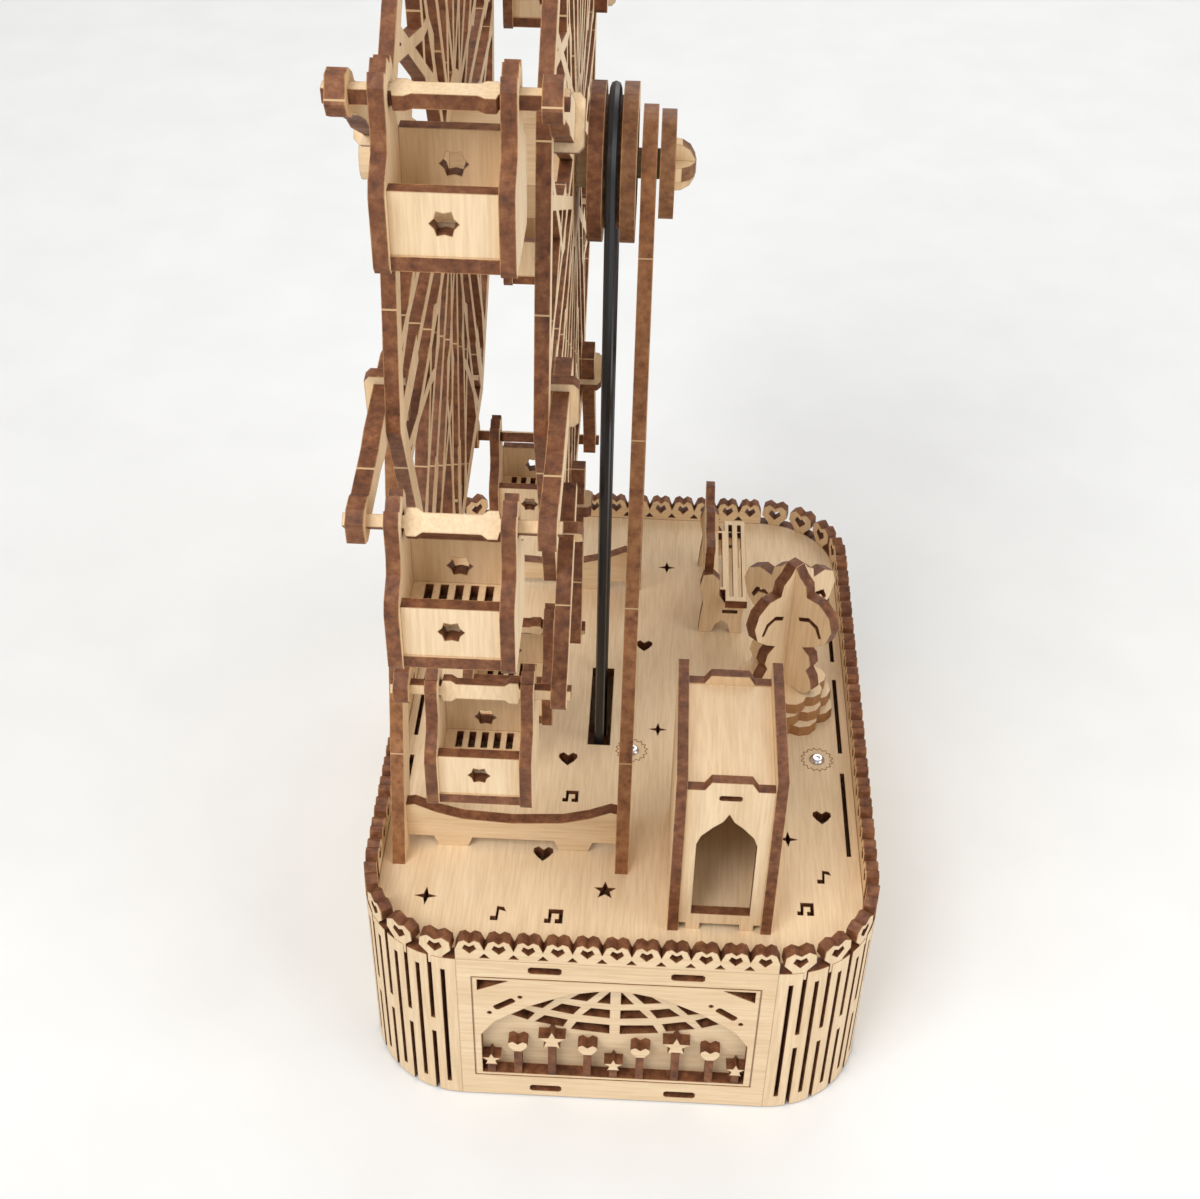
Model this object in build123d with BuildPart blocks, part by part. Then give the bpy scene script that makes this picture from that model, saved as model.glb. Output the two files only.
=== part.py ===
from build123d import *
import os
from math import asin, atan2, cos, degrees, hypot, radians, sin

os.makedirs("parts", exist_ok=True)

# ---- driving dimensions (mm) ----
T = 3.0            # frame plywood
TG = 2.4           # thin plywood: gondolas, booth, trims
TW = 2.5           # wheel lattice plywood
W, L, H = 117.0, 165.0, 50.0   # base
RC = 23.0          # base corner radius
AX, AY = W / 2 - RC, L / 2 - RC   # ends of the straight walls
FENCE_H = 6.6      # heart fence above the deck

HUB_Z = 199.5      # wheel shaft height
XW = -27.9         # middle plane of the wheel
N = 10             # gondolas
STEP = 360 / N
TH0 = 30.0         # first gondola, degrees above the horizontal towards the front
R_AXLE = 106.5     # circle of the gondola axles
RING_IN = 11.0     # inner face of a lattice ring, from the middle plane
R_RIM = 85.0       # rim corners
SHAFT_R = 3.0

LEG_L, LEG_R = -51.5, 0.0      # planes of the A-frames
FOOT_Y, FOOT_W = 56.0, 9.2      # outer edge and width of a foot

BELT_X = -7.15     # belt plane
PULLEY_R, GROOVE_R = 15.7, 13.0
LOW_Z, LOW_GROOVE_R, LOW_R = 25.0, 10.2, 13.0
BELT_R = 1.15
DRIVE_R = 2.5
GEAR_X, CRANK_X, CRANK_GEAR_Y = 6.0, 16.8, 10.8
GEAR_TIP, GEAR_ROOT, GEAR_N = 11.8, 8.5, 12


def yz(x, y=0, z=0):
    """Plane across X: sketch x is Y, sketch y is Z."""
    return Plane(origin=(x, y, z), x_dir=(0, 1, 0), z_dir=(1, 0, 0))


def xz(y, x=0, z=0):
    """Plane across Y, facing the front: sketch x is X, sketch y is Z."""
    return Plane(origin=(x, y, z), x_dir=(1, 0, 0), z_dir=(0, -1, 0))


def save(bp, name):
    bp.part.label = name
    export_step(bp.part, f"parts/{name}.step")


def at(pts, cx, cy, s=1.0, ang=0.0):
    """Points scaled, turned and moved."""
    c, d = cos(radians(ang)) * s, sin(radians(ang)) * s
    return [(cx + x * c - y * d, cy + x * d + y * c) for x, y in pts]


def polar(n, r0, r1, a0=90.0):
    """Star-like outline with n points, between two radii."""
    return [((r0 if i % 2 == 0 else r1) * cos(radians(a0 + i * 180 / n)),
             (r0 if i % 2 == 0 else r1) * sin(radians(a0 + i * 180 / n))) for i in range(2 * n)]


def strip(p, q, w):
    """Rectangle of width w from p to q."""
    d = hypot(q[0] - p[0], q[1] - p[1])
    nx, ny = -(q[1] - p[1]) / d * w / 2, (q[0] - p[0]) / d * w / 2
    return [(p[0] + nx, p[1] + ny), (p[0] - nx, p[1] - ny), (q[0] - nx, q[1] - ny), (q[0] + nx, q[1] + ny)]


def pt(r, a):
    """Point of the wheel plane: angle a rises from the front horizontal."""
    return (-r * cos(radians(a)), HUB_Z + r * sin(radians(a)))


def mirrored(pts):
    """Half outline (x >= 0, bottom to top) closed with its mirror image."""
    return pts + [(-x, y) for x, y in reversed(pts) if x > 1e-6]


HEART = mirrored([(0, -1.0), (0.62, -0.38), (1.0, 0.2), (0.94, 0.68), (0.5, 0.92), (0, 0.5)])
SMALL_HEART = mirrored([(0, -1.0), (0.95, 0.05), (0.62, 0.86), (0, 0.45)])
SPARK = polar(4, 1.0, 0.3)
STAR = polar(5, 1.0, 0.42)
FLOWER = polar(6, 1.0, 0.74, 0)
NOTE = [(-0.6, -0.8), (0.1, -0.8), (0.15, 0.5), (0.8, 0.3), (0.6, 0.8), (-0.05, 0.9), (-0.1, -0.3), (-0.6, -0.3)]
DISC_SIDES = 40     # round plates are drawn with this many sides
BEAMED = [(-0.9, -0.8), (-0.3, -0.8), (-0.25, 0.35), (0.45, 0.35), (0.45, -0.3), (0.1, -0.3), (0.1, -0.8),
          (0.8, -0.8), (0.8, 0.85), (-0.55, 0.85), (-0.55, -0.3), (-0.9, -0.3)]

# ======================= base =======================
with BuildPart() as bottom_plate:
    with BuildSketch():
        RectangleRounded(W - 2 * T - 0.2, L - 2 * T - 0.2, RC - T - 0.1)
    extrude(amount=T)
save(bottom_plate, "bottom_plate")

MOTIFS = [(SPARK, -44.1, -65, 2.6), (SPARK, 7.5, -7.8, 2.3), (SPARK, 38.9, -42.9, 2.4), (SPARK, 8.7, 57.3, 2.4),
          (SPARK, -35, 40, 2.4), (HEART, -18.4, -50.8, 2.3), (HEART, -14.5, -19.5, 2.3),
          (HEART, 3.2, 23.8, 2.2), (HEART, 47.3, -35.4, 2.2), (HEART, -40, 15, 2.3),
          (STAR, -3.5, -61.1, 2.6), (NOTE, -27.5, -69.2, 2.4), (NOTE, 46.6, -54.2, 2.3), (STAR, -20, 62, 2.6),
          (BEAMED, -14.6, -69.3, 2.4), (BEAMED, 42.2, -63.9, 2.2), (BEAMED, -13, -32.2, 2.2)]
SCREWS = [(47.1, -16.0), (1.1, -15.6), (-38.0, -15.6)]
with BuildPart() as deck_plate:
    with BuildSketch(Plane.XY.offset(H - T)):
        RectangleRounded(W - 2 * T - 0.2, L - 2 * T - 0.2, RC - T - 0.1)
        with Locations((BELT_X, 0)):
            Rectangle(5.6, 28.4, mode=Mode.SUBTRACT)
        for shape, cx, cy, s in MOTIFS:
            Polygon(*at(shape, cx, cy, s), mode=Mode.SUBTRACT)
        with GridLocations(W - 11, 34, 2, 3):
            Rectangle(1.0, 27, mode=Mode.SUBTRACT)
    extrude(amount=T)
save(deck_plate, "deck_plate")

SILL = 8.5          # window sill above the ground
# front wall: arched window, corner slots and dots, tab slots
ARCH = mirrored([(30.5, SILL), (30.5, 23), (27.4, 28), (23.5, 31.2), (19.1, 34.5), (13.9, 37.4), (9.6, 39.4),
                 (4.5, 40.7), (0, 41)])
OVAL = [(-1, -0.18), (-0.85, -0.3), (0.85, -0.3), (1, -0.18), (1, 0.18), (0.85, 0.3), (-0.85, 0.3), (-1, 0.18)]
with BuildPart() as front_panel:
    with BuildSketch(xz(-L / 2 + T)):
        with Locations((0, H / 2)):
            Rectangle(2 * AX, H)
        Polygon(*ARCH, mode=Mode.SUBTRACT)
        for cx, cz in ((-15.8, 47.2), (15.8, 47.2), (-15.8, 3.0), (15.8, 3.0)):
            Polygon(*at(OVAL, cx, cz, 3.7), mode=Mode.SUBTRACT)
        for s in (-1, 1):
            Polygon((s * 31.0, 43.2), (s * 23.8, 43.2), (s * 31.0, 39.4), mode=Mode.SUBTRACT)
            Polygon(*at(OVAL, s * 25.0, 34.8, 2.8, s * -38), mode=Mode.SUBTRACT)
            for dx, dz in ((21.4, 37.5), (28.4, 31.4)):
                Polygon(*at(polar(3, 0.6, 0.6), s * dx, dz), mode=Mode.SUBTRACT)
    extrude(amount=T)
    # engraved line round the window
    with BuildSketch(xz(-L / 2, 0, 0)):
        with Locations((0, 25.8)):
            Rectangle(64.6, 36.8)
            Rectangle(64.0, 36.2, mode=Mode.SUBTRACT)
    extrude(amount=-0.3, mode=Mode.SUBTRACT)
save(front_panel, "front_panel")

with BuildPart() as back_panel:
    with BuildSketch(xz(L / 2)):
        with Locations((0, H / 2)):
            Rectangle(2 * AX, H)
        for cx, cz in ((-15.8, 47.2), (-15.8, 3.0), (15.8, 3.0)):
            Polygon(*at(OVAL, cx, cz, 3.7), mode=Mode.SUBTRACT)
        with Locations((CRANK_X, LOW_Z)):
            Circle(DRIVE_R + 0.4, mode=Mode.SUBTRACT)
        for i in range(4):
            Polygon(*at(HEART, -26 + 9 * i, 25, 2.8), mode=Mode.SUBTRACT)
    extrude(amount=T)
save(back_panel, "back_panel")


def make_side(name, x):
    with BuildPart() as side:
        with BuildSketch(yz(x)):
            with Locations((0, H / 2)):
                Rectangle(2 * AY, H)
            for cy in (-40, 40):
                for cz in (47.2, 3.0):
                    Polygon(*at(OVAL, cy, cz, 3.7), mode=Mode.SUBTRACT)
            for i in range(5):
                shape = (HEART, STAR)[i % 2]
                Polygon(*at(shape, -36 + 18 * i, 25, 4.2), mode=Mode.SUBTRACT)
        extrude(amount=T)
    save(side, name)


make_side("side_panel_right", W / 2 - T)
make_side("side_panel_left", -W / 2)


def fence_outline(length, n):
    """Strip with n heart tops."""
    p = length / n
    top = []
    for i in range(n):
        c = length / 2 - p * (i + 0.5)
        top += [(c + p * 0.5, H + 3.4), (c + p * 0.36, H + 6.0), (c + p * 0.17, H + FENCE_H), (c, H + 5.6),
                (c - p * 0.17, H + FENCE_H), (c - p * 0.36, H + 6.0)]
    return [(-length / 2, H), (length / 2, H)] + top + [(-length / 2, H + 3.4)]


def fence_holes(length, n, gaps):
    p = length / n
    for i in range(n):
        c = length / 2 - p * (i + 0.5)
        Polygon(*at(SMALL_HEART, c, H + 3.8, p * 0.25), mode=Mode.SUBTRACT)
        if i and gaps:
            Polygon((c + p * 0.5, H + 2.3), (c + p * 0.32, H + 0.8), (c + p * 0.68, H + 0.8), mode=Mode.SUBTRACT)


def make_fences(name, planes, length, n, gaps):
    with BuildPart() as fence:
        for plane in planes:
            with BuildSketch(plane):
                Polygon(*fence_outline(length, n))
                fence_holes(length, n, gaps)
            extrude(amount=T)
    save(fence, name)


make_fences("fence_ends", (xz(-L / 2 + T), xz(L / 2)), 2 * AX, 11, True)
make_fences("fence_sides", (yz(W / 2 - T), yz(-W / 2)), 2 * AY, 18, False)

# bent corner wall: staggered vertical slits, with four heart tabs
FACETS = 12


def make_corner(name, sx, sy):
    cx, cy = sx * AX, sy * AY
    a0 = {(1, 1): 0, (-1, 1): 90, (-1, -1): 180, (1, -1): 270}[(sx, sy)]
    ang = [a0 + i * 90 / FACETS for i in range(FACETS + 1)]
    ring = [(cx + RC * cos(radians(a)), cy + RC * sin(radians(a))) for a in ang]
    ring += [(cx + (RC - T) * cos(radians(a)), cy + (RC - T) * sin(radians(a))) for a in reversed(ang)]
    with BuildPart() as corner:
        with BuildSketch():
            Polygon(*ring)
        extrude(amount=H)
        for i in range(1, FACETS):
            px, py = cx + (RC - T / 2) * cos(radians(ang[i])), cy + (RC - T / 2) * sin(radians(ang[i]))
            spans = ((4.0, 46.0),) if i % 2 else ((-1.0, 22.5), (27.5, 51.0))
            for z0, z1 in spans:
                with Locations(Location((px, py, (z0 + z1) / 2), (0, 0, ang[i]))):
                    Box(5, 1.0, z1 - z0, mode=Mode.SUBTRACT)
        for j in range(4):
            a = radians(a0 + 11.25 + 22.5 * j)
            face = Plane(origin=(cx + (RC - T - 0.05) * cos(a), cy + (RC - T - 0.05) * sin(a), 0),
                         x_dir=(-sin(a), cos(a), 0), z_dir=(cos(a), sin(a), 0))
            with BuildSketch(face):
                Polygon((-1.7, H - 2.5), (1.7, H - 2.5), (1.7, H + 0.6), (3.6, H + 3.0), (3.4, H + 5.6),
                        (1.7, H + 6.8), (0, H + 5.7), (-1.7, H + 6.8), (-3.4, H + 5.6), (-3.6, H + 3.0),
                        (-1.7, H + 0.6))
                Polygon(*at(SMALL_HEART, 0, H + 3.6, 1.8), mode=Mode.SUBTRACT)
            extrude(amount=T - 0.1)
    save(corner, name)


make_corner("corner_front_left", -1, -1)
make_corner("corner_front_right", 1, -1)
make_corner("corner_back_left", -1, 1)
make_corner("corner_back_right", 1, 1)

# dome lattice behind the window
CELLS = [[(-10.1, 22.6), (-8.8, 25.4), (-1.2, 24.8), (-1.2, 21.5)],
         [(-18.4, 24.8), (-16.1, 27.3), (-10.8, 26), (-11.9, 23.3)],
         [(-23.8, 27), (-20.9, 29.3), (-18.3, 28), (-20, 25.3)],
         [(-7.6, 28), (-5.5, 30.8), (-1.2, 30.4), (-1.2, 27.3)],
         [(-14.8, 29.4), (-12.2, 31.9), (-7.8, 31), (-9.6, 28.1)],
         [(-19.2, 30.5), (-16.2, 33.4), (-13.8, 33.2), (-16.6, 29.9)],
         [(-4.2, 32.9), (-1.2, 37.2), (-1.2, 32.6)],
         [(-10.4, 33.8), (-6.4, 37.4), (-2.9, 37.8), (-6.5, 33.2)]]
with BuildPart() as window_backdrop:
    with BuildSketch(xz(-L / 2 + T + TG)):
        with Locations((0, H / 2)):
            Rectangle(2 * AX - 2, H - 2 * T)
        for cell in CELLS:
            for s in (-1, 1):
                Polygon(*[(s * x, z) for x, z in cell], mode=Mode.SUBTRACT)
    extrude(amount=TG)
save(window_backdrop, "window_backdrop")

# hearts and stars on stalks that stand on the window sill
STALKS = [(-28.4, STAR, 2.3, 13.4), (-22.2, HEART, 2.3, 18.6), (-14.3, STAR, 3.3, 21.6), (-6.1, HEART, 2.3, 18.4),
          (0, STAR, 2.3, 13.2), (6.1, HEART, 2.3, 18.4), (14.3, STAR, 3.3, 21.6), (22.2, HEART, 2.3, 18.6),
          (28.4, STAR, 2.3, 13.4)]
with BuildPart() as window_stalks:
    with BuildSketch(xz(-L / 2 + T)):
        for cx, shape, s, hz in STALKS:
            with Locations((cx, (hz + SILL) / 2)):
                Rectangle(1.8, hz - SILL)
            Polygon(*at(shape, cx, hz, s))
    extrude(amount=T)
save(window_stalks, "window_stalks")

# ======================= A-frame legs =======================


def make_leg(name, x):
    with BuildPart() as leg:
        with BuildSketch(yz(x - T / 2)):
            for s in (-1, 1):
                Polygon((s * FOOT_Y, H), (s * (FOOT_Y - FOOT_W), H), (s * 1.5, HUB_Z - 4), (s * 8.5, HUB_Z))
            Polygon((-22, H + 92), (22, H + 92), (19.8, H + 99), (-19.8, H + 99))
            with Locations((0, HUB_Z)):
                RegularPolygon(11.5, DISC_SIDES)
                Circle(SHAFT_R + 0.06, mode=Mode.SUBTRACT)
        extrude(amount=T)
    save(leg, name)


make_leg("leg_left", LEG_L)
make_leg("leg_right", LEG_R)

# wavy cross braces with two feet each, between the legs
X0, X1 = LEG_L + T / 2, LEG_R - T / 2
BRACE = [(X0, H + 3), (-44, H + 3), (-43, H), (-36, H), (-35, H + 3), (-16, H + 3), (-15, H), (-8, H), (-7, H + 3),
         (X1, H + 3), (X1, H + 13), (-3, H + 13.4), (-8, H + 11), (-14, H + 9.2), (-25.7, H + 8.4),
         (-37, H + 9.2), (-43, H + 11), (-48, H + 13.4), (X0, H + 13)]
with BuildPart() as leg_braces:
    for y in (-FOOT_Y + 9.5, FOOT_Y - 6.5):
        with BuildSketch(xz(y)):
            Polygon(*BRACE)
        extrude(amount=T)
save(leg_braces, "leg_braces")

# ======================= ticket booth =======================
BX0, BX1, BY0, BY1, EAVES = 10.8, 34.0, -71.7, -35.1, 48.7
BC = (BX0 + BX1) / 2
with BuildPart() as booth_sides:
    for x in (BX0, BX1 - TG):
        with BuildSketch(yz(x)):
            Polygon((BY0, H), (BY1, H), (BY1, H + EAVES), (BY0, H + EAVES))
        extrude(amount=TG)
save(booth_sides, "booth_sides")
HWB = (BX1 - BX0) / 2 - TG
WALL = [(-HWB, 2.0), (-7.6, 2.0), (-7.6, 0), (-4.4, 0), (-4.4, 2.0), (4.4, 2.0), (4.4, 0), (7.6, 0), (7.6, 2.0),
        (HWB, 2.0), (HWB, 44.6), (5.6, 44.6), (4.2, 46.9), (-4.2, 46.9), (-5.6, 44.6), (-HWB, 44.6)]
DOOR = mirrored([(6.5, 5.2), (6.5, 28), (5.6, 30.6), (3.2, 33.4), (1.2, 35.2), (0, 37.6)])


def make_booth_wall(name, y, door):
    with BuildPart() as wall:
        with BuildSketch(xz(y, BC, H)):
            Polygon(*WALL)
            Polygon(*door, mode=Mode.SUBTRACT)
            Polygon(*at(OVAL, 0, 42.4, 2.4), mode=Mode.SUBTRACT)
        extrude(amount=TG)
    save(wall, name)


make_booth_wall("booth_front", BY0 + 0.8 + TG, DOOR)
make_booth_wall("booth_back", BY1 - 0.8, [(-5, 16), (5, 16), (5, 30), (-5, 30)])
with BuildPart() as booth_roof:
    with BuildSketch(Plane.XY.offset(H + 42.0)):
        Polygon((BX0 + TG, BY0 + 3.2), (BX1 - TG, BY0 + 3.2), (BX1 - TG, BY1 - 3.2), (BX0 + TG, BY1 - 3.2))
    extrude(amount=TG)
    with BuildSketch(Plane.XY.offset(H)):
        Polygon((BX0 + TG, BY0 + 3.2), (BX1 - TG, BY0 + 3.2), (BX1 - TG, BY1 - 3.2), (BX0 + TG, BY1 - 3.2))
    extrude(amount=TG)
save(booth_roof, "booth_roof")

# ======================= bench =======================
BENCH_SIDE = [(17.5, 0), (21, 0), (22, 3), (23.6, 4.2), (25.2, 3), (26, 0), (29, 0), (28.6, 5), (29.4, 10.5),
              (24, 10.5),
              (22.5, 13), (22.3, 18), (20.5, 20), (18, 19.5), (17.3, 16), (18.3, 10), (17.8, 5)]
with BuildPart() as bench_sides:
    for y in (32.9, 61.0):
        with BuildSketch(xz(y, 0, H)):
            Polygon(*BENCH_SIDE)
            with Locations((25.6, 7.4)):
                Rectangle(4.0, 1.1, mode=Mode.SUBTRACT)
        extrude(amount=TG)
save(bench_sides, "bench_sides")
with BuildPart() as bench_seat:
    with BuildSketch(Plane.XY.offset(H + 10.5)):
        Polygon((24.1, 28.4), (29.8, 28.4), (29.8, 63.2), (24.1, 63.2), (24.1, 58.5), (20.7, 58.5), (20.7, 33.0),
                (24.1, 33.0))
        for x, length in ((22.9, 23.4), (25.7, 31), (28.1, 31)):
            with Locations((x, 45.8)):
                Rectangle(1.0, length, mode=Mode.SUBTRACT)
    extrude(amount=TG)
save(bench_seat, "bench_seat")
with BuildPart() as bench_back:
    with BuildSketch(yz(18.2)):
        Polygon((33.0, H + 7), (58.5, H + 7), (58.5, H + 10.4), (58.5, H + 25), (60.6, H + 26.5), (60.2, H + 28.4),
                (57.6, H + 28.6), (52, H + 26.6), (45.75, H + 28.8), (39.5, H + 26.6), (33.9, H + 28.6),
                (31.3, H + 28.4), (30.9, H + 26.5), (33.0, H + 25))
        with Locations((45.75, H + 18)):
            with GridLocations(5.2, 0, 4, 1):
                Rectangle(1.4, 10, mode=Mode.SUBTRACT)
    extrude(amount=TG)
save(bench_back, "bench_back")

# ======================= tree =======================
def scallops(n, r, turn):
    """Round outline with n soft lobes."""
    return [(r * k * cos(radians(turn + 360 / n * (i + f))), r * k * sin(radians(turn + 360 / n * (i + f))))
            for i in range(n) for f, k in ((0, 0.86), (0.22, 0.96), (0.5, 1.0), (0.78, 0.96))]


TX, TY = 38.6, 4.4
with BuildPart() as tree_base:
    for i, r in enumerate((13.6, 12.3, 11.0)):
        with BuildSketch(Plane.XY.offset(H + T * i)):
            Polygon(*at(scallops(9, r, 13 * i), TX, TY))
        extrude(amount=T)
save(tree_base, "tree_base")
CROWN = mirrored([(4.5, 0), (8.5, 0.5), (10.5, 3.2), (9.8, 6.2), (8.2, 8.2), (9.4, 10.6), (8.6, 13.2), (6.2, 14.6),
                  (9.6, 16.9), (13.0, 20.0), (14.4, 24.4), (13.2, 28.2), (9.8, 30.4), (5.8, 30.2),
                  (5.2, 33.2), (3.0, 34.8), (1.4, 36.9)])
SLIT = [(4.0, 22.9), (7.2, 24.7), (10.2, 23.9), (11.6, 20.9), (10.8, 20.4), (9.4, 22.8), (7.2, 23.5), (4.4, 22.0)]


def make_tree(name, ang, low):
    c, d = cos(radians(ang)), sin(radians(ang))
    face = Plane(origin=(TX - d * -T / 2, TY + c * -T / 2, H + 3 * T), x_dir=(c, d, 0), z_dir=(-d, c, 0))
    with BuildPart() as profile:
        with BuildSketch(Plane(origin=face.origin, x_dir=face.x_dir, z_dir=(d, -c, 0)).offset(-T)):
            Polygon(*CROWN)
            for s in (-1, 1):
                Polygon(*[(s * x, y) for x, y in SLIT], mode=Mode.SUBTRACT)
            with Locations((0, 8.9 if low else 28.6)):
                Rectangle(T, 19.2 if low else 20.2, mode=Mode.SUBTRACT)
        extrude(amount=T)
    save(profile, name)


make_tree("tree_profile_a", 45, True)
make_tree("tree_profile_b", 135, False)

# domed screws in the deck
with BuildPart() as deck_screws:
    with BuildSketch(Plane.XY.offset(H)):
        with Locations(*SCREWS):
            RegularPolygon(1.9, 12)
    extrude(amount=0.5)
    with BuildSketch(Plane.XY.offset(H + 0.5)):
        with Locations(*SCREWS):
            RegularPolygon(1.5, 12)
    extrude(amount=0.5)
save(deck_screws, "deck_screws")

# ======================= wheel =======================
ANG = [TH0 - STEP * k for k in range(N)]
HEX = [pt(R_RIM, a) for a in ANG]
HEX_IN = [pt(R_RIM - 4.6, a) for a in ANG]


def make_ring(name, x):
    with BuildPart() as ring:
        with BuildSketch(yz(x)):
            Polygon(*HEX)
            Polygon(*HEX_IN, mode=Mode.SUBTRACT)
            for a in ANG:
                Polygon(*strip(pt(15, a), pt(79.5, a + 27), 2.5))
                Polygon(*strip(pt(15, a), pt(79.5, a - 27), 2.5))
                Polygon(*strip(pt(15, a), pt(83, a), 2.6))
                Polygon(*strip(pt(62, a), pt(83, a), 5.6))
            # pointed loops between the spokes, with a fork to the rim corners
            for a in ANG:
                b = a + STEP / 2
                loop = [(35, 0), (40.5, 6), (49, 5.4), (55, 0), (49, -5.4), (40.5, -6)]
                hole = [(38.2, 0), (41.6, 3.5), (48.2, 3.1), (51.4, 0), (48.2, -3.1), (41.6, -3.5)]
                outer, inner = ([pt(hypot(r, w), b + degrees(atan2(w, r))) for r, w in ring_pts]
                                for ring_pts in (loop, hole))
                for i in range(6):
                    Polygon(outer[i], outer[(i + 1) % 6], inner[(i + 1) % 6], inner[i])
                for end in (a + 6, a + STEP - 6):
                    Polygon(*strip(pt(53, b), pt(80.5, end), 2.3))
            with Locations((0, HUB_Z)):
                RegularPolygon(17, 20)
                Circle(SHAFT_R, mode=Mode.SUBTRACT)
        extrude(amount=TW)
    save(ring, name)


make_ring("wheel_ring_left", XW - RING_IN - TW)
make_ring("wheel_ring_right", XW + RING_IN)

ARM_IN = RING_IN + TW
BAR_W, BAR_T = 2.1, TG


def bar_turn(a):
    """Turn of an axle bar's width direction in the Y-Z plane."""
    n = a + 53
    return degrees(atan2(sin(radians(n)), -cos(radians(n)))) - 90


ARM = [(66, -2.2), (68, -3.0), (88, -3.0), (92, -2.2), (102.6, -2.2), (104.2, -3.1), (107.5, -3.3), (109.6, -2.0),
       (109.6, 2.0), (107.5, 3.3), (104.2, 3.1), (102.6, 2.2), (92, 2.2), (88, 3.0), (68, 3.0), (66, 2.2)]


def make_arms(name, x):
    with BuildPart() as arms:
        with BuildSketch(yz(x)):
            for a in ANG:
                Polygon(*[pt(hypot(r, w), a + degrees(atan2(w, r))) for r, w in ARM])
            for a in ANG:
                with Locations(pt(R_AXLE, a)):
                    Rectangle(BAR_W, BAR_T, rotation=bar_turn(a), mode=Mode.SUBTRACT)
        extrude(amount=T)
    save(arms, name)


make_arms("wheel_arms_left", XW - ARM_IN - T)
make_arms("wheel_arms_right", XW + ARM_IN)

# C-shaped clips that hold the arms on the rim
CLIP = [(11.0, -4.6), (17.2, -4.6), (18.1, -3.6), (18.1, 3.6), (17.2, 4.6), (11.0, 4.6), (11.0, 3.05), (16.5, 3.05),
        (16.5, -3.05), (11.0, -3.05)]


def make_clips(name, s):
    with BuildPart() as clips:
        for a in ANG:
            y, z = pt(74.0, a)
            out = (0, -cos(radians(a)), sin(radians(a)))
            with BuildSketch(Plane(origin=(XW, y, z), x_dir=(1, 0, 0), z_dir=out)):
                Polygon(*[(s * x, v) for x, v in CLIP])
            extrude(amount=TG)
    save(clips, name)


make_clips("wheel_clips_left", -1)
make_clips("wheel_clips_right", 1)

# waisted axle bars of the gondolas
HALF = [(0, 1.6), (4.6, 1.6), (5.6, 2.3), (7.2, 2.3), (7.5, 1.05), (ARM_IN + T + 0.8, 1.05)]
BAR = [(-x, w) for x, w in reversed(HALF)] + HALF[1:]
BAR = BAR + [(x, -w) for x, w in reversed(BAR)]
with BuildPart() as gondola_axles:
    for a in ANG:
        y, z = pt(R_AXLE, a)
        n = (0, -cos(radians(a + 53)), sin(radians(a + 53)))
        with BuildSketch(Plane(origin=(XW, y, z), x_dir=(1, 0, 0), z_dir=n).offset(-BAR_T / 2)):
            Polygon(*BAR)
        extrude(amount=BAR_T)
save(gondola_axles, "gondola_axles")

with BuildPart() as hub_drum:
    with BuildSketch(yz(XW - RING_IN)):
        with Locations((0, HUB_Z)):
            RegularPolygon(11.5, 6)
            RegularPolygon(9.0, 6, mode=Mode.SUBTRACT)
    extrude(amount=2 * RING_IN)
save(hub_drum, "hub_drum")

with BuildPart() as wheel_shaft:
    with BuildSketch(yz(LEG_L - 6)):
        with Locations((0, HUB_Z)):
            Circle(SHAFT_R)
    extrude(amount=LEG_R + 5.1 - LEG_L + 6)
    for x0, x1 in ((LEG_L - 6, LEG_L - 2.2), (LEG_L + 2.1, XW - ARM_IN), (XW + ARM_IN, -11.9)):
        with BuildSketch(yz(x0)):
            with Locations((0, HUB_Z)):
                RegularPolygon(5.2, 20)
        extrude(amount=x1 - x0)
save(wheel_shaft, "wheel_shaft")


def make_disc(name, x0, x1, r):
    with BuildPart() as disc:
        with BuildSketch(yz(x0)):
            with Locations((0, HUB_Z)):
                RegularPolygon(r, DISC_SIDES)
                Circle(SHAFT_R, mode=Mode.SUBTRACT)
        extrude(amount=x1 - x0)
    save(disc, name)


make_disc("pulley_disc_inner", -11.9, -8.9, PULLEY_R)
make_disc("pulley_core", -8.9, -5.4, GROOVE_R)
make_disc("pulley_disc_outer", -5.4, -2.4, PULLEY_R)

# end cap: a disc with a dome of two cross-lapped half discs
with BuildPart() as shaft_end_cap:
    with BuildSketch(yz(2.1)):
        with Locations((0, HUB_Z)):
            RegularPolygon(10.7, DISC_SIDES)
            Circle(SHAFT_R, mode=Mode.SUBTRACT)
    extrude(amount=3.0)
    DOME = [(5.1, -5), (6.4, -4.8), (8.0, -3.8), (9.0, -2), (9.3, 0), (9.0, 2), (8.0, 3.8), (6.4, 4.8), (5.1, 5)]
    with BuildSketch(Plane(origin=(0, T / 2, HUB_Z), x_dir=(1, 0, 0), z_dir=(0, -1, 0))):
        Polygon(*DOME)
    extrude(amount=T)
    with BuildSketch(Plane(origin=(0, 0, HUB_Z - T / 2), x_dir=(1, 0, 0), z_dir=(0, 0, 1))):
        Polygon(*DOME)
    extrude(amount=T)
save(shaft_end_cap, "shaft_end_cap")

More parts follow.
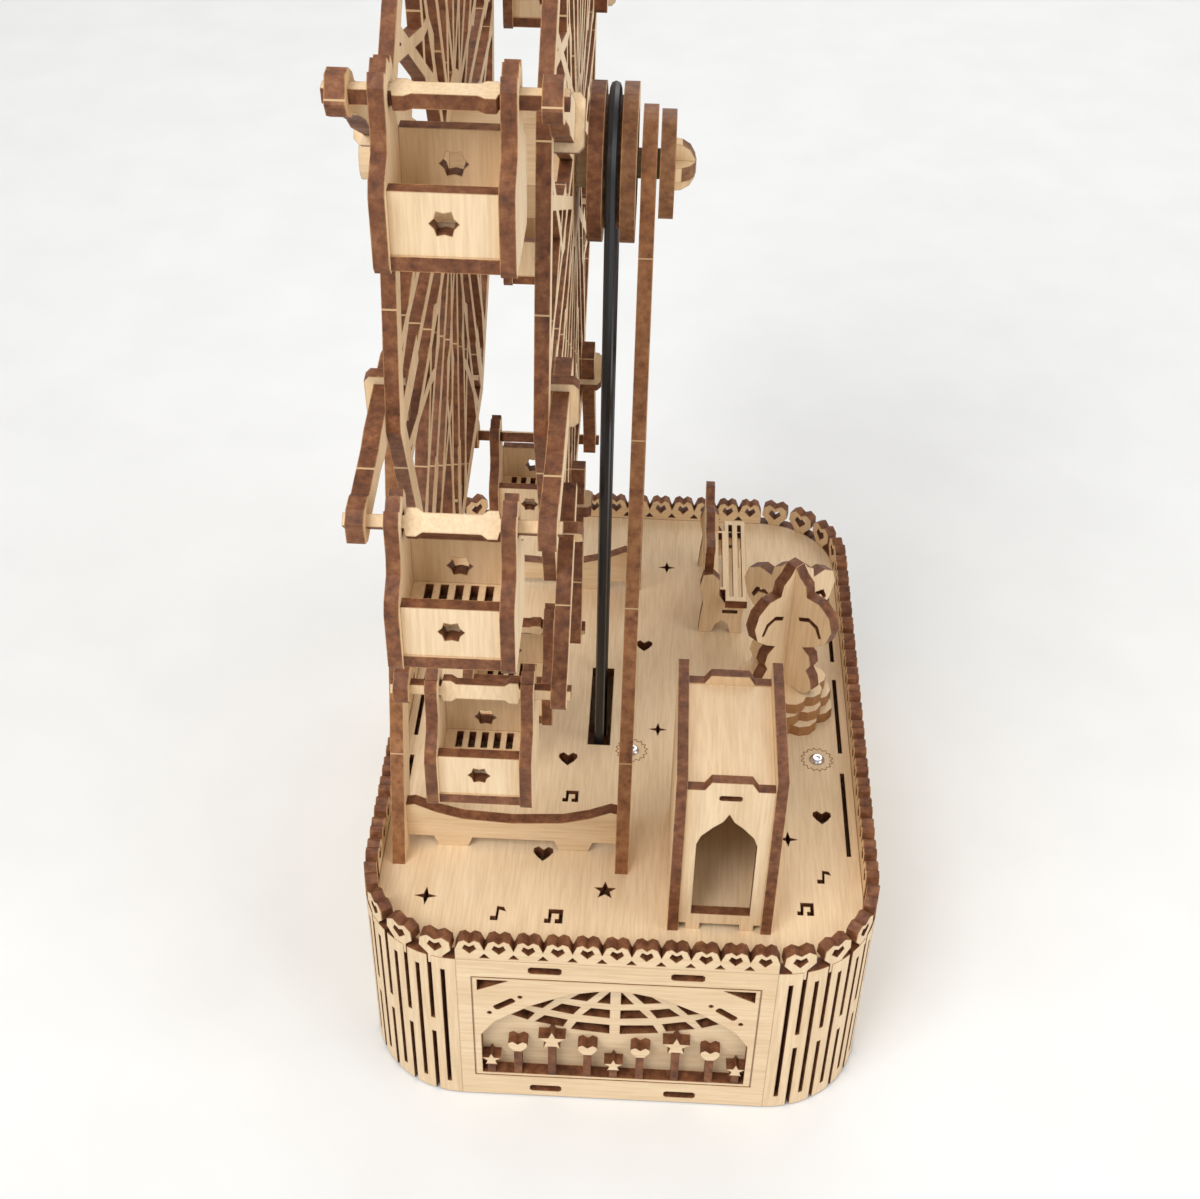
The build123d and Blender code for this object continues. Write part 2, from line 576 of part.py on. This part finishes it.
# round belt: two arcs and two straight strands
c_up, c_low = GROOVE_R + 0.35 + BELT_R, LOW_GROOVE_R + 0.35 + BELT_R
TILT = degrees(asin((c_up - c_low) / (HUB_Z - LOW_Z)))
with BuildPart() as belt:
    for s in (-1, 1):
        t = radians(TILT)
        p = (BELT_X, s * c_up * cos(t), HUB_Z - c_up * sin(t))
        q = (BELT_X, s * c_low * cos(t), LOW_Z - c_low * sin(t))
        run = Vector(*q) - Vector(*p)
        with BuildSketch(Plane(origin=p, x_dir=(1, 0, 0), z_dir=tuple(run.normalized()))):
            RegularPolygon(BELT_R, 8)
        extrude(amount=run.length)
    for z, r, arc in ((HUB_Z, c_up, 180 + 2 * TILT), (LOW_Z, c_low, -(180 - 2 * TILT))):
        t = radians(TILT)
        with BuildSketch(Plane(origin=(BELT_X, r * cos(t), z - r * sin(t)), x_dir=(1, 0, 0),
                               z_dir=(0, -sin(t), -cos(t)))):
            RegularPolygon(BELT_R, 8)
        revolve(axis=Axis((0, 0, z), (1, 0, 0)), revolution_arc=arc)
save(belt, "belt")

# ======================= gondolas =======================
SIDE = mirrored([(8.4, -23.4), (9.4, -22), (9.6, -11), (8.6, -9), (5.0, -6.6), (4.2, -4), (4.2, 2.6), (3.0, 4.4),
                 (1.9, 3.6), (0.0, 5.2)])
PANEL = 7.9


def make_gondola(name, a):
    y, z = pt(R_AXLE, a)
    with BuildPart() as gondola:
        for x in (XW - PANEL - TG, XW + PANEL):
            with BuildSketch(yz(x, y, z)):
                Polygon(*SIDE)
                RegularPolygon(1.74, 12, mode=Mode.SUBTRACT)
            extrude(amount=TG)
        for yy, z0, z1, zh in ((y - 5.6, -20.6, -10.6, -15.4), (y + 8.0, -20.6, -7.4, -12.8)):
            with BuildSketch(xz(yy, XW, z)):
                Polygon((-PANEL, z0), (PANEL, z0), (PANEL, z1), (-PANEL, z1))
                Polygon(*at(FLOWER, 0, zh, 2.2), mode=Mode.SUBTRACT)
            extrude(amount=TG)
        with BuildSketch(Plane.XY.offset(z - 18.8)):
            Polygon((XW - PANEL, y - 5.6), (XW + PANEL, y - 5.6), (XW + PANEL, y + 5.6), (XW - PANEL, y + 5.6))
            with Locations((XW, y + 2.8)):
                with GridLocations(2.5, 0, 5, 1):
                    Rectangle(1.3, 4.4, mode=Mode.SUBTRACT)
        extrude(amount=TG)
        with BuildSketch(Plane.XY.offset(z - 23.0)):
            Polygon((XW - PANEL, y - 8.3), (XW + PANEL, y - 8.3), (XW + PANEL, y + 8.3), (XW - PANEL, y + 8.3))
        extrude(amount=TG)
    save(gondola, name)


for k, a in enumerate(ANG):
    make_gondola(f"gondola_{k + 1:02d}", a)

# ======================= drive inside the base =======================
with BuildPart() as drive_bearings:
    for x in (-22.0, -0.4):
        with BuildSketch(yz(x)):
            Polygon((-9, T), (9, T), (6, LOW_Z + 7), (-6, LOW_Z + 7))
            with Locations((0, LOW_Z)):
                Circle(DRIVE_R + 0.06, mode=Mode.SUBTRACT)
        extrude(amount=T)
    with BuildSketch(xz(20.0, CRANK_X)):
        Polygon((-9, T), (9, T), (6, LOW_Z + 7), (-6, LOW_Z + 7))
        with Locations((0, LOW_Z)):
            Circle(DRIVE_R + 0.06, mode=Mode.SUBTRACT)
    extrude(amount=T)
save(drive_bearings, "drive_bearings")

with BuildPart() as drive_shaft:
    with BuildSketch(yz(-25)):
        with Locations((0, LOW_Z)):
            Circle(DRIVE_R)
    extrude(amount=25 + GEAR_X + 3)
save(drive_shaft, "drive_shaft")
with BuildPart() as drive_pulley:
    for x0, x1, r in ((-11.3, -8.9, LOW_R), (-8.9, -5.4, LOW_GROOVE_R), (-5.4, -3.0, LOW_R)):
        with BuildSketch(yz(x0)):
            with Locations((0, LOW_Z)):
                RegularPolygon(r, DISC_SIDES)
                Circle(DRIVE_R, mode=Mode.SUBTRACT)
        extrude(amount=x1 - x0)
save(drive_pulley, "drive_pulley")


def gear_outline(offset):
    """Plate gear with narrow straight teeth."""
    pts = []
    for i in range(GEAR_N):
        a = 360 / GEAR_N * i + offset
        for r, w in ((GEAR_ROOT, -1.1), (GEAR_TIP, -0.7), (GEAR_TIP, 0.7), (GEAR_ROOT, 1.1)):
            t = radians(a) + atan2(w, r)
            pts.append((r * cos(t), r * sin(t)))
    return pts


with BuildPart() as drive_gear:
    with BuildSketch(yz(GEAR_X - T / 2, 0, LOW_Z)):
        Polygon(*gear_outline(0))
        Circle(DRIVE_R, mode=Mode.SUBTRACT)
    extrude(amount=T)
save(drive_gear, "drive_gear")
with BuildPart() as crank_gear:
    with BuildSketch(xz(CRANK_GEAR_Y + T / 2, CRANK_X, LOW_Z)):
        Polygon(*gear_outline(180 / GEAR_N))
        Circle(DRIVE_R, mode=Mode.SUBTRACT)
    extrude(amount=T)
save(crank_gear, "crank_gear")
with BuildPart() as crank_shaft:
    with BuildSketch(xz(L / 2 + 7, CRANK_X, LOW_Z)):
        Circle(DRIVE_R)
    extrude(amount=L / 2 + 7 - CRANK_GEAR_Y + 2.4)
save(crank_shaft, "crank_shaft")
ARM_Y, ARM_LEN = L / 2 + 3.4, 15.5
with BuildPart() as crank_arm:
    with BuildSketch(xz(ARM_Y + T, CRANK_X, LOW_Z)):
        RegularPolygon(5, 24)
        with Locations((0, -ARM_LEN)):
            RegularPolygon(4, 24)
        Polygon((-4.2, 0), (4.2, 0), (3.4, -ARM_LEN), (-3.4, -ARM_LEN))
        Circle(DRIVE_R, mode=Mode.SUBTRACT)
        with Locations((0, -ARM_LEN)):
            Circle(1.5, mode=Mode.SUBTRACT)
    extrude(amount=T)
    with BuildSketch(xz(ARM_Y + T + 12, CRANK_X, LOW_Z - ARM_LEN)):
        Circle(1.5)
    extrude(amount=12 + T)
save(crank_arm, "crank_arm")
with BuildPart() as crank_knob:
    with BuildSketch(xz(ARM_Y + T + 11.4, CRANK_X, LOW_Z - ARM_LEN)):
        RegularPolygon(4, 20)
        Circle(1.56, mode=Mode.SUBTRACT)
    extrude(amount=11)
save(crank_knob, "crank_knob")
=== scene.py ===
import bpy
import math
from mathutils import Matrix, Vector


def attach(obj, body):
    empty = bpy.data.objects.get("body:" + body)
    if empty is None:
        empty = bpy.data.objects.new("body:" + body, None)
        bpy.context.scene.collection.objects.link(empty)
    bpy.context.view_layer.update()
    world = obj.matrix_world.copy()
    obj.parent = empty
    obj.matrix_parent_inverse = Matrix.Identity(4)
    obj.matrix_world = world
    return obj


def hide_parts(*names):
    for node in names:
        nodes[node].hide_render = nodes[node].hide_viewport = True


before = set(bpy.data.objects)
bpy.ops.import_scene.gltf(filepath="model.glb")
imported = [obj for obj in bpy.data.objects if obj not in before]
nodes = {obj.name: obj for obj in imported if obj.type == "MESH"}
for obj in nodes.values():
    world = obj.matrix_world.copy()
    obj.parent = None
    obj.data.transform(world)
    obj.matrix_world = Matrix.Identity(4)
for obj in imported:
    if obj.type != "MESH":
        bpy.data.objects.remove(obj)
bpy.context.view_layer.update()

# ---------------- places shared with the CAD, in millimetres ----------------
MM = 0.001
XW, HUB_Z = -27.9, 199.5               # wheel's middle plane and shaft height
R_AXLE, TH0, STEP = 106.5, 30.0, 36.0  # gondola axles: circle, first angle, angle between them
AX, AY = 35.5, 59.5                    # middles of the base's corner arcs
CORNER_IN, T, TG = 20.0, 3.0, 2.4      # inside of a corner arc, thick and thin plywood
DECK = 50.0
PANEL, WALL_IN = 7.9, 5.6              # inner faces of a gondola's sides and of its front and back
SEAT_LOW, FLOOR_LOW = -18.8, -23.0     # undersides of a gondola's seat and floor, from its axle
CAP_X = 2.1                            # inner face of the shaft's end disc


# ---------------- materials ----------------
class Tree:
    """Short calls for building a node tree."""

    def __init__(self, name):
        self.mat = bpy.data.materials.new(name)
        self.mat.use_nodes = True
        self.t = self.mat.node_tree
        self.bsdf = self.t.nodes["Principled BSDF"]

    def n(self, kind, **props):
        node = self.t.nodes.new(kind)
        for k, v in props.items():
            setattr(node, k, v)
        return node

    def link(self, a, b):
        self.t.links.new(a, b)

    def math(self, op, a, b=None):
        m = self.n("ShaderNodeMath", operation=op)
        for i, v in enumerate((a, b)):
            if v is None:
                continue
            if isinstance(v, (int, float)):
                m.inputs[i].default_value = v
            else:
                self.link(v, m.inputs[i])
        return m.outputs[0]

    def coords(self, scale):
        tc = self.n("ShaderNodeTexCoord")
        mp = self.n("ShaderNodeMapping")
        mp.inputs["Scale"].default_value = scale
        self.link(tc.outputs["Object"], mp.inputs["Vector"])
        return mp.outputs["Vector"]

    def noise(self, scale, detail=3.0, rough=0.6):
        nz = self.n("ShaderNodeTexNoise")
        nz.inputs["Scale"].default_value = 1.0
        nz.inputs["Detail"].default_value = detail
        nz.inputs["Roughness"].default_value = rough
        self.link(self.coords(scale), nz.inputs["Vector"])
        return nz.outputs["Fac"]

    def ramp(self, fac, stops):
        r = self.n("ShaderNodeValToRGB")
        e = r.color_ramp.elements
        while len(e) < len(stops):
            e.new(0.5)
        for i, (p, c) in enumerate(stops):
            e[i].position = p
            e[i].color = (*c, 1)
        self.link(fac, r.inputs["Fac"])
        return r.outputs["Color"]

    def mix(self, fac, a, b, blend="MIX"):
        m = self.n("ShaderNodeMix", data_type="RGBA", blend_type=blend)
        if isinstance(fac, (int, float)):
            m.inputs[0].default_value = fac
        else:
            self.link(fac, m.inputs[0])
        for i, v in ((6, a), (7, b)):
            if isinstance(v, tuple):
                m.inputs[i].default_value = (*v, 1)
            else:
                self.link(v, m.inputs[i])
        return m.outputs[2]

    def bump(self, h, dist, strength=0.5):
        b = self.n("ShaderNodeBump")
        b.inputs["Strength"].default_value = strength
        b.inputs["Distance"].default_value = dist
        self.link(h, b.inputs["Height"])
        self.link(b.outputs["Normal"], self.bsdf.inputs["Normal"])


GRAIN = {"x": (90, 1500, 1500), "y": (1500, 90, 1500), "z": (1500, 1500, 90)}
WIDE = {"x": (14, 160, 160), "y": (160, 14, 160), "z": (160, 160, 14)}
SCORCHED = (0.20, 0.085, 0.03)      # rim of a pale face
SHEET_EDGE = (0.50, 0.27, 0.11)     # paler rims of a cut edge
TAB_MARK = (0.62, 0.42, 0.22)       # where a tab held the piece in its sheet
TAB_WIDTH = 0.00035
RIM_WIDTH = 0.00035


def face_material(name, grain, light, dark):
    """Pale ply face: fine grain, broad bands and a scorched rim."""
    t = Tree(name)
    fine = t.noise(GRAIN[grain], 4, 0.65)
    wide = t.noise(WIDE[grain], 3, 0.5)
    col = t.ramp(wide, [(0.30, dark), (0.72, light)])
    streak = t.ramp(fine, [(0.36, (0.74, 0.66, 0.56)), (0.60, (1, 1, 1))])
    col = t.mix(0.45, col, streak, "MULTIPLY")
    bev = t.n("ShaderNodeBevel", samples=4)
    bev.inputs["Radius"].default_value = RIM_WIDTH
    geo = t.n("ShaderNodeNewGeometry")
    dot = t.n("ShaderNodeVectorMath", operation="DOT_PRODUCT")
    t.link(bev.outputs["Normal"], dot.inputs[0])
    t.link(geo.outputs["True Normal"], dot.inputs[1])
    rim = t.ramp(dot.outputs["Value"], [(0.86, (1, 1, 1)), (0.99, (0, 0, 0))])
    burn = t.math("MULTIPLY", rim, 0.62)
    col = t.mix(burn, col, SCORCHED)
    t.link(col, t.bsdf.inputs["Base Color"])
    t.bsdf.inputs["Roughness"].default_value = 0.62
    t.bsdf.inputs["Specular IOR Level"].default_value = 0.25
    t.bump(fine, 0.00008, 0.4)
    return t.mat


def edge_material(name, mid, dark, light, marks):
    """Laser-cut edge: mottled burnt brown with paler rims, and a tab mark every so many metres, or none."""
    t = Tree(name)
    at = t.n("ShaderNodeAttribute", attribute_name="across")
    n1 = t.noise((420, 420, 420), 4, 0.7)
    n2 = t.noise((90, 90, 90), 2, 0.5)
    col = t.ramp(n1, [(0.30, dark), (0.52, mid), (0.78, light)])
    col = t.mix(t.math("MULTIPLY", n2, 0.7), col, dark)
    d = t.math("ABSOLUTE", t.math("SUBTRACT", at.outputs["Fac"], 0.5))
    rim = t.math("GREATER_THAN", t.math("ADD", d, t.math("MULTIPLY", n1, 0.12)), 0.515)
    col = t.mix(t.math("MULTIPLY", rim, 0.55), col, SHEET_EDGE)
    if marks:
        tc = t.n("ShaderNodeTexCoord")
        sep = t.n("ShaderNodeSeparateXYZ")
        t.link(tc.outputs["Object"], sep.inputs[0])
        s = t.math("ADD", sep.outputs["Z"], t.math("MULTIPLY", sep.outputs["Y"], 0.7))
        f = t.math("FRACT", t.math("MULTIPLY", s, 1.0 / marks))
        line = t.math("LESS_THAN", f, TAB_WIDTH / marks)
        col = t.mix(t.math("MULTIPLY", line, 0.85), col, TAB_MARK)
    t.link(col, t.bsdf.inputs["Base Color"])
    t.bsdf.inputs["Roughness"].default_value = 0.55
    t.bsdf.inputs["Specular IOR Level"].default_value = 0.3
    t.bump(n1, 0.00012, 0.5)
    return t.mat


PALE, PALE_D = (0.84, 0.655, 0.435), (0.76, 0.565, 0.35)
BROWN = ((0.235, 0.085, 0.033), (0.075, 0.026, 0.012), (0.42, 0.19, 0.08))     # middle, dark and light
ORANGE = ((0.36, 0.155, 0.060), (0.15, 0.055, 0.022), (0.52, 0.27, 0.12))
TAN = ((0.30, 0.135, 0.055), (0.12, 0.045, 0.018), (0.46, 0.25, 0.11))
WHEEL_TABS, LEG_TABS = 0.031, 0.044     # distance between tab marks

faces = {g: face_material("ply_face_" + g, g, PALE, PALE_D) for g in "xyz"}
edge_plain = edge_material("ply_edge", *BROWN, 0)
edge_marks = edge_material("ply_edge_marks", *BROWN, WHEEL_TABS)
edge_leg = edge_material("ply_edge_leg", *ORANGE, LEG_TABS)
edge_tan = edge_material("ply_edge_tan", *TAN, 0)

rubber = Tree("belt_rubber")
rubber.bsdf.inputs["Base Color"].default_value = (0.012, 0.014, 0.018, 1)
rn = rubber.noise((700, 700, 700), 3, 0.6)
rr = rubber.n("ShaderNodeMapRange")
rr.inputs["To Min"].default_value, rr.inputs["To Max"].default_value = 0.30, 0.48
rubber.link(rn, rr.inputs["Value"])
rubber.link(rr.outputs["Result"], rubber.bsdf.inputs["Roughness"])
rubber.bump(rn, 0.00003, 0.3)

chrome = Tree("screw_chrome")
chrome.bsdf.inputs["Metallic"].default_value = 1.0
cn = chrome.noise((1500, 1500, 1500), 3, 0.6)
chrome.link(chrome.ramp(cn, [(0.3, (0.60, 0.60, 0.61)), (0.7, (0.80, 0.80, 0.82))]),
            chrome.bsdf.inputs["Base Color"])
chrome.bsdf.inputs["Roughness"].default_value = 0.18
chrome.bump(cn, 0.00001, 0.2)


# ---------------- face and edge of each plate ----------------
# A rule goes through the polygons of one solid and says of each whether it is a plate's face, and how a corner's
# place across the sheet's thickness is found, from 0 to 1.
HEAD_TOP, HEAD_TALL = 1.0, 1.55        # a stalk's head reaches down 1 mm and 1.55 times half its width


def solids(me):
    """Polygons grouped by solid, joined where corners share a place."""
    key, parent = {}, list(range(len(me.vertices)))

    def root(i):
        while parent[i] != i:
            parent[i] = parent[parent[i]]
            i = parent[i]
        return i

    for v in me.vertices:
        k = tuple(round(c * 1e5) for c in v.co)
        if k in key:
            parent[root(v.index)] = root(key[k])
        else:
            key[k] = v.index
    for p in me.polygons:
        a = root(p.vertices[0])
        for i in p.vertices[1:]:
            parent[root(i)] = a
    groups = {}
    for p in me.polygons:
        groups.setdefault(root(p.vertices[0]), []).append(p)
    return list(groups.values())


def plate_rule(me, polys):
    """A flat plate: its direction is the one of its main normals along which it is thinnest."""
    areas = {}
    for p in polys:
        n = p.normal if max(p.normal, key=abs) > 0 else -p.normal
        k = tuple(round(c * 50) for c in n)
        areas[k] = areas.get(k, 0) + p.area
    most = max(areas.values())
    best = None
    for k, area in areas.items():
        if area > 0.3 * most:
            n = Vector(k).normalized()
            d = [me.vertices[i].co.dot(n) for p in polys for i in p.vertices]
            if best is None or max(d) - min(d) < best[0]:
                best = (max(d) - min(d), n, min(d), max(d))
    axis, lo, hi = best[1:]
    span = max(hi - lo, 1e-6)
    for p in polys:
        yield p, abs(p.normal.dot(axis)) > 0.97, lambda co: (co.dot(axis) - lo) / span


def gondola_rule(me, polys, y0, z0):
    """Two sides, then the front and back between them, then the seat and the floor."""
    for p in polys:
        c, n = p.center / MM, p.normal
        dx, dy, dz = abs(c.x - XW), c.y - y0, c.z - z0
        if dx > PANEL - 0.04:
            yield p, abs(n.x) > 0.9, lambda co: (abs(co.x / MM - XW) - PANEL) / TG
        elif abs(dy) > WALL_IN - 0.1 and dz > FLOOR_LOW + TG + 0.05:
            yield p, abs(n.y) > 0.9, lambda co: (abs(co.y / MM - y0) - WALL_IN) / TG
        else:
            low = SEAT_LOW if dz > SEAT_LOW - 0.4 else FLOOR_LOW
            yield p, abs(n.z) > 0.9, lambda co: (co.z / MM - z0 - low) / TG


def corner_rule(me, polys, cx, cy):
    """A wall bent round (cx, cy)."""
    for p in polys:
        out = Vector((p.center.x / MM - cx, p.center.y / MM - cy, 0)).normalized()
        yield p, abs(p.normal.dot(out)) > 0.96, \
            lambda co: (math.hypot(co.x / MM - cx, co.y / MM - cy) - CORNER_IN) / T


def stack_rule(me, polys):
    """Plates lying on each other on the deck."""
    for p in polys:
        yield p, abs(p.normal.z) > 0.9, lambda co: ((co.z / MM - DECK + 0.001) % T) / T


def cap_rule(me, polys):
    """The end disc, and the two half discs that cross on it."""
    for p in polys:
        if p.center.x / MM < CAP_X + T + 0.02:
            yield p, abs(p.normal.x) > 0.9, lambda co: (co.x / MM - CAP_X) / T
        else:
            yield p, max(abs(p.normal.y), abs(p.normal.z)) > 0.98, lambda co: 0.5


def stalk_rule(me, polys):
    """A pale head, and the stalk under it, whose faces take the dark edge material."""
    corners = [me.vertices[i].co / MM for p in polys for i in p.vertices]
    top = max(c.z for c in corners)
    half = (max(c.x for c in corners) - min(c.x for c in corners)) / 2
    for p in polys:
        head = p.center.z / MM > top - HEAD_TOP - HEAD_TALL * half
        yield p, abs(p.normal.y) > 0.9 and head, lambda co: 0.5


def drum_rule(me, polys):
    """Round pieces: pale on what doesn't face along X."""
    for p in polys:
        yield p, abs(p.normal.x) < 0.5, lambda co: 0.5


def dress(name, grain, edge, rule=None):
    """Gives a plywood node its face and edge materials."""
    ob = nodes[name]
    me = ob.data
    me.materials.clear()
    me.materials.append(faces[grain])
    me.materials.append(edge)
    at = me.attributes.new("across", "FLOAT", "CORNER")
    for polys in solids(me):
        for p, face, across in (rule or plate_rule)(me, polys):
            p.material_index = 0 if face else 1
            for li in p.loop_indices:
                at.data[li].value = across(me.vertices[me.loops[li].vertex_index].co)


for name in nodes:
    if name.startswith("gondola_") and name != "gondola_axles":
        a = math.radians(TH0 - STEP * (int(name[-2:]) - 1))
        y0, z0 = -R_AXLE * math.cos(a), HUB_Z + R_AXLE * math.sin(a)
        dress(name, "z", edge_plain, lambda me, ps, y0=y0, z0=z0: gondola_rule(me, ps, y0, z0))
    elif name.startswith("corner_"):
        cx = AX * (1 if name.endswith("right") else -1)
        cy = AY * (1 if "back" in name else -1)
        dress(name, "z", edge_plain, lambda me, ps, cx=cx, cy=cy: corner_rule(me, ps, cx, cy))
    elif name == "window_stalks":
        dress(name, "x", edge_plain, stalk_rule)
    elif name == "tree_base":
        dress(name, "y", edge_plain, stack_rule)
    elif name == "shaft_end_cap":
        dress(name, "z", edge_tan, cap_rule)
    elif name in ("hub_drum", "wheel_shaft", "drive_shaft", "crank_shaft", "crank_knob"):
        dress(name, "y" if name.startswith("crank") else "x", edge_plain, drum_rule)
    elif name in ("belt", "deck_screws"):
        nodes[name].data.materials.clear()
        nodes[name].data.materials.append(rubber.mat if name == "belt" else chrome.mat)
    elif name in ("deck_plate", "bottom_plate", "booth_roof", "bench_seat"):
        dress(name, "y", edge_plain)
    elif name in ("front_panel", "back_panel", "fence_ends", "window_backdrop", "leg_braces"):
        dress(name, "x", edge_plain)
    elif name in ("leg_left", "leg_right"):
        dress(name, "z", edge_leg)
    elif name.startswith(("wheel_ring", "wheel_arms")):
        dress(name, "z", edge_marks)
    elif name.startswith("pulley"):
        dress(name, "z", edge_tan if name.endswith("outer") else edge_plain)
    else:
        dress(name, "z", edge_plain)


# ---------------- domed screw heads, each in an engraved gear ring ----------------
# Middles, and a head's radius, height, dip, sides, rows and the arc it covers in degrees; then the rings' teeth,
# tip and root radius, and the width and height of their line.
SCREWS = [(47.1, -16.0), (1.1, -15.6), (-38.0, -15.6)]
HEAD_R, HEAD_H, HEAD_DIP = 1.9, 1.0, 0.45
HEAD_SIDES, HEAD_ROWS, HEAD_ARC = 24, 5, 80
TEETH, TOOTH_TIP, TOOTH_ROOT, LINE_W, LINE_H = 16, 3.75, 3.25, 0.28, 0.06


def new_mesh(name, verts, polys, mat):
    me = bpy.data.meshes.new(name)
    me.from_pydata([tuple(c * MM for c in v) for v in verts], [], polys)
    me.materials.append(mat)
    ob = bpy.data.objects.new(name, me)
    bpy.context.scene.collection.objects.link(ob)
    return ob


def screw_heads():
    """Low domes with a dipped middle, one closed mesh a screw."""
    verts, polys = [], []
    for cx, cy in SCREWS:
        base = len(verts)
        for j in range(HEAD_ROWS):
            t = math.radians(HEAD_ARC * j / (HEAD_ROWS - 1))
            dip = HEAD_DIP if j == HEAD_ROWS - 1 else 0
            for i in range(HEAD_SIDES):
                a = 2 * math.pi * i / HEAD_SIDES
                verts.append((cx + HEAD_R * math.cos(t) * math.cos(a),
                              cy + HEAD_R * math.cos(t) * math.sin(a),
                              DECK + HEAD_H * math.sin(t) - dip))
        for j in range(HEAD_ROWS - 1):
            row, above = base + j * HEAD_SIDES, base + (j + 1) * HEAD_SIDES
            for i in range(HEAD_SIDES):
                k = (i + 1) % HEAD_SIDES
                polys.append((row + i, row + k, above + k, above + i))
        polys.append(tuple(base + (HEAD_ROWS - 1) * HEAD_SIDES + i for i in range(HEAD_SIDES)))
        polys.append(tuple(base + i for i in reversed(range(HEAD_SIDES))))
    ob = new_mesh("screw_heads", verts, polys, chrome.mat)
    for p in ob.data.polygons:
        p.use_smooth = len(p.vertices) == 4
    return ob


def gear_rings():
    """Thin burnt outlines in the shape of a gear, on the deck round each screw."""
    verts, polys = [], []
    n = TEETH * 4
    for cx, cy in SCREWS:
        base = len(verts)
        for i in range(n):
            a = 2 * math.pi * i / n
            r = TOOTH_TIP if i % 4 in (1, 2) else TOOTH_ROOT
            for dr in (0, LINE_W):
                for z in (DECK - 0.02, DECK + LINE_H):
                    verts.append((cx + (r + dr) * math.cos(a), cy + (r + dr) * math.sin(a), z))
        for i in range(n):
            a, b = base + 4 * i, base + 4 * ((i + 1) % n)
            polys += [(a + 1, a + 3, b + 3, b + 1), (a + 2, a, b, b + 2),
                      (a, a + 1, b + 1, b), (a + 3, a + 2, b + 2, b + 3)]
    return new_mesh("gear_rings", verts, polys, edge_plain)


heads, rings = screw_heads(), gear_rings()
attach(heads, "base")
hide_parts("deck_screws")
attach(rings, "base")

# ---------------- stage, light, camera ----------------
bpy.ops.mesh.primitive_plane_add(size=6, location=(0, 0, -0.0004))
floor = bpy.context.object
floor.name = "floor"
fm = Tree("floor_paper")
fn = fm.noise((30, 30, 30), 2, 0.5)
fm.link(fm.ramp(fn, [(0.3, (0.80, 0.80, 0.79)), (0.7, (0.83, 0.83, 0.82))]), fm.bsdf.inputs["Base Color"])
fm.bsdf.inputs["Roughness"].default_value = 0.9
floor.data.materials.append(fm.mat)

world = bpy.data.worlds.new("studio")
bpy.context.scene.world = world
world.use_nodes = True
bg = world.node_tree.nodes["Background"]
bg.inputs["Color"].default_value = (1, 1, 1, 1)
bg.inputs["Strength"].default_value = 0.55


def area(name, loc, size, power, target=(0, 0, 0.12)):
    light = bpy.data.lights.new(name, "AREA")
    light.size = size
    light.energy = power
    ob = bpy.data.objects.new(name, light)
    bpy.context.scene.collection.objects.link(ob)
    ob.location = loc
    ob.rotation_euler = (Vector(target) - Vector(loc)).to_track_quat("-Z", "Y").to_euler()


area("key", (-0.55, -0.75, 1.15), 0.7, 12.0)
area("fill", (0.9, -0.5, 0.7), 0.9, 5.0)
area("back", (0.2, 1.0, 0.9), 0.8, 4.0)

SENSOR, FOCAL_PX, PHOTO_W = 36.0, 1710.0, 1200.0
cam = bpy.data.cameras.new("camera")
cam_ob = bpy.data.objects.new("camera", cam)
bpy.context.scene.collection.objects.link(cam_ob)
bpy.context.scene.camera = cam_ob
right = Vector((0.998802, 0.046149, 0.016279))
up = Vector((-0.042136, 0.641859, 0.765664))
back = Vector((0.024886, -0.765433, 0.643034))
turn = Matrix((right, up, back)).transposed().to_4x4()
cam_ob.matrix_world = Matrix.Translation((0.002271, -0.317518, 0.352129)) @ turn
cam.sensor_width = SENSOR
cam.lens = FOCAL_PX / PHOTO_W * SENSOR
cam.clip_start = 0.01

scene = bpy.context.scene
scene.view_settings.view_transform = "Standard"

bpy.context.view_layer.update()
